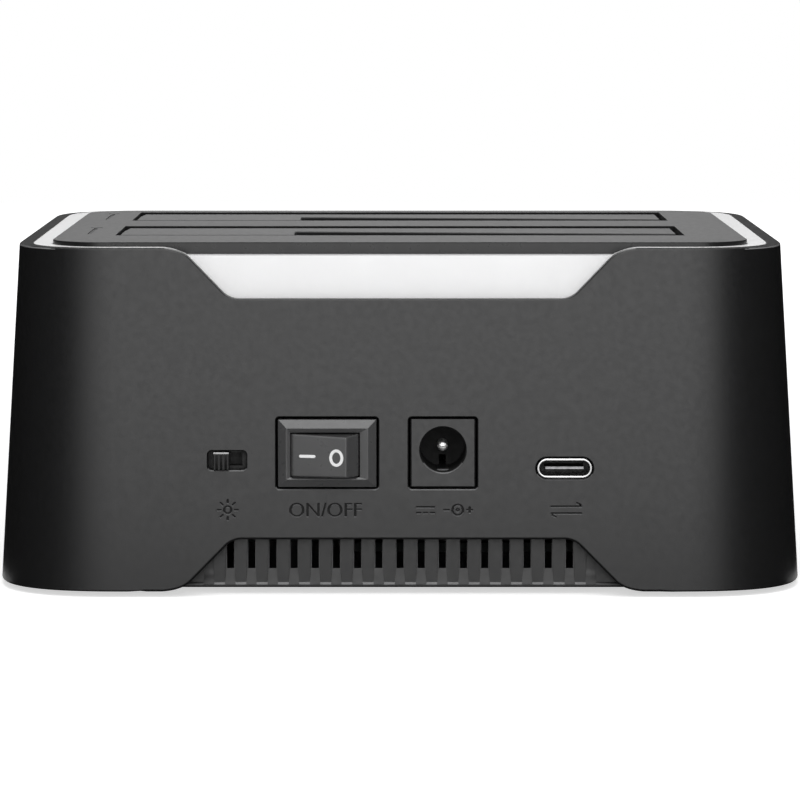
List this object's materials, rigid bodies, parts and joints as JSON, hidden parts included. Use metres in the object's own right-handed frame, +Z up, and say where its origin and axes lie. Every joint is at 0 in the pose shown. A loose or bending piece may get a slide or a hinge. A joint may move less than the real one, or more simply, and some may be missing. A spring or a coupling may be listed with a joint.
{
  "type": "hard drive docking station",
  "caption": "Tapered desktop dock with sprung flaps over upright drive bays, a lit ring below the top plate, and switches, power inlet and data port on the rear.",
  "frame": {"origin": "centre of the footprint on the surface that the feet stand on", "axes": "+X to the right when facing the ports, -Y out of the port side, +Z up"},
  "size_m": [0.1436, 0.121, 0.062],
  "materials": {
    "shell_plastic": "fine satin texture",
    "diffuser_plastic": "milky translucent",
    "plate_plastic": "fine satin texture",
    "tray_plastic": "satin",
    "flap_plastic": "satin",
    "well_plastic": "satin",
    "switch_plastic": "semi gloss",
    "socket_plastic": "matt",
    "board_laminate": "solder mask",
    "strip_laminate": "white mask",
    "steel": "plain drawn",
    "screw_steel": "black oxide",
    "contact_metal": "plated",
    "can_metal": "plain",
    "coil_ferrite": "matt",
    "lead_cover": "soft",
    "foot_rubber": "matt"
  },
  "bodies": {
    "housing": {"outer_shell": "shell_plastic", "light_ring": "diffuser_plastic", "top_plate": "plate_plastic", "base_tray": "tray_plastic", "rear_flap_pin": "steel", "front_flap_pin": "steel", "rear_flap_spring": "steel", "front_flap_spring": "steel", "rear_drive_well": "well_plastic", "front_drive_well": "well_plastic", "main_board": "board_laminate", "port_board": "board_laminate", "board_link": "socket_plastic", "rear_sata_socket": "socket_plastic", "front_sata_socket": "socket_plastic", "rear_sata_contacts": "contact_metal", "front_sata_contacts": "contact_metal", "bridge_chip": "socket_plastic", "capacitor_a": "can_metal", "capacitor_b": "can_metal", "coil_a": "coil_ferrite", "coil_b": "coil_ferrite", "rocker_housing": "switch_plastic", "rocker_terminals": "contact_metal", "switch_leads": "lead_cover", "dc_jack_body": "switch_plastic", "dc_jack_pin": "steel", "dc_jack_contact": "contact_metal", "usb_c_shell": "steel", "usb_c_tongue": "socket_plastic", "slide_switch_body": "steel", "rear_light_strip": "strip_laminate", "front_light_strip": "strip_laminate", "foot_rear_left": "foot_rubber", "foot_rear_right": "foot_rubber", "foot_front_left": "foot_rubber", "foot_front_right": "foot_rubber", "base_screws": "screw_steel", "board_screws": "screw_steel", "plate_screws": "screw_steel"},
    "rear_flap": {"rear_bay_flap": "flap_plastic"},
    "front_flap": {"front_bay_flap": "flap_plastic"},
    "rocker": {"rocker_button": "switch_plastic"},
    "slide_knob": {"slide_switch_knob": "socket_plastic"}
  },
  "joints": [
    {"name": "rear_flap_hinge", "type": "hinge", "parent": "housing", "child": "rear_flap", "pos_m": [0, 0.00203, 0.058], "axis": [1, 0, 0], "range_deg": [0, 90], "stiffness_Nm_per_rad": 0.006, "springref_deg": -28.65, "deforming": ["rear_flap_spring"]},
    {"name": "front_flap_hinge", "type": "hinge", "parent": "housing", "child": "front_flap", "pos_m": [0, 0.04733, 0.058], "axis": [1, 0, 0], "range_deg": [0, 90], "stiffness_Nm_per_rad": 0.006, "springref_deg": -28.65, "deforming": ["front_flap_spring"]},
    {"name": "rocker_pivot", "type": "hinge", "parent": "housing", "child": "rocker", "pos_m": [-0.0128, -0.05477, 0.0254], "axis": [0, 0, 1], "range_deg": [0, 24]},
    {"name": "light_slide", "type": "slide", "parent": "housing", "child": "slide_knob", "axis": [1, 0, 0], "range_m": [0, 0.002]}
  ]
}
